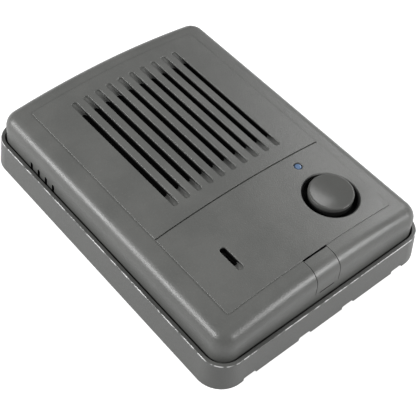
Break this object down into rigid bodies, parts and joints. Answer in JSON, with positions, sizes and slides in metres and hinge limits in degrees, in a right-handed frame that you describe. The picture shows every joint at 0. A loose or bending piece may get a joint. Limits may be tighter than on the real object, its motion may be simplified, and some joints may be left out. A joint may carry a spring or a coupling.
{
  "type": "gate intercom station",
  "caption": "Wall-mounted gate intercom station: shallow tray, crowned cover with a slotted speaker grille, round call button, microphone slot and indicator lens.",
  "frame": {"origin": "centre of the back, on the wall plane", "axes": "+X across the width, +Y up the wall, +Z out of the wall; modelled lying on its back"},
  "size_m": [0.098, 0.131, 0.0272],
  "materials": {
    "cover_grey": "fine satin grain",
    "base_grey": "fine satin grain with a glossy rim edge",
    "button_grey": "polished",
    "lens_blue": "tinted clear",
    "led_blue": "clear",
    "black_rubber": "matt",
    "black_foam": "foam",
    "screen_cloth": "fine woven cloth",
    "black_plastic": "moulded",
    "zinc_steel": "zinc plated",
    "spring_steel": "drawn wire",
    "frame_steel": "pressed, plated",
    "ferrite": "ground",
    "cone_paper": "pulp",
    "coil_copper": "enamelled winding",
    "board_green": "solder mask",
    "terminal_green": "moulded",
    "tinned_brass": "tinned",
    "lead_red": "insulated wire",
    "can_aluminium": "drawn can",
    "chip_black": "moulded"
  },
  "bodies": {
    "housing": {"rear_base": "base_grey", "front_cover": "cover_grey", "screw_cup": "cover_grey", "cover_screw": "zinc_steel", "button_seal": "black_rubber", "button_spring": "spring_steel", "switch_body": "black_plastic", "led_lens": "lens_blue", "led": "led_blue", "dust_screen": "screen_cloth", "speaker_gasket": "black_foam", "speaker_surround": "black_rubber", "speaker_cone": "cone_paper", "speaker_dust_cap": "cone_paper", "voice_coil": "coil_copper", "speaker_spider": "screen_cloth", "speaker_frame": "frame_steel", "speaker_top_plate": "zinc_steel", "speaker_magnet": "ferrite", "speaker_back_plate": "zinc_steel", "speaker_clips": "zinc_steel", "clip_screws": "zinc_steel", "speaker_tags": "tinned_brass", "speaker_leads": "lead_red", "circuit_board": "board_green", "board_screws": "zinc_steel", "terminal_block": "terminal_green", "terminal_screws": "tinned_brass", "microphone_boot": "black_rubber", "microphone_capsule": "can_aluminium", "capacitors": "can_aluminium", "amplifier_chip": "chip_black", "resistors": "chip_black"},
    "button": {"call_button": "button_grey", "button_retainer": "spring_steel", "switch_plunger": "black_plastic"},
    "flap": {"screw_flap": "cover_grey"}
  },
  "joints": [
    {"name": "button_press", "type": "slide", "parent": "housing", "child": "button", "axis": [0, 0, -1], "range_m": [0, 0.0012], "stiffness_N_per_m": 900, "springref_m": -0.002, "deforming": ["button_spring"]},
    {"name": "flap_fold", "type": "hinge", "parent": "housing", "child": "flap", "pos_m": [0, -0.06206, 0.0157], "axis": [1, 0, 0], "range_deg": [0, 85]}
  ]
}
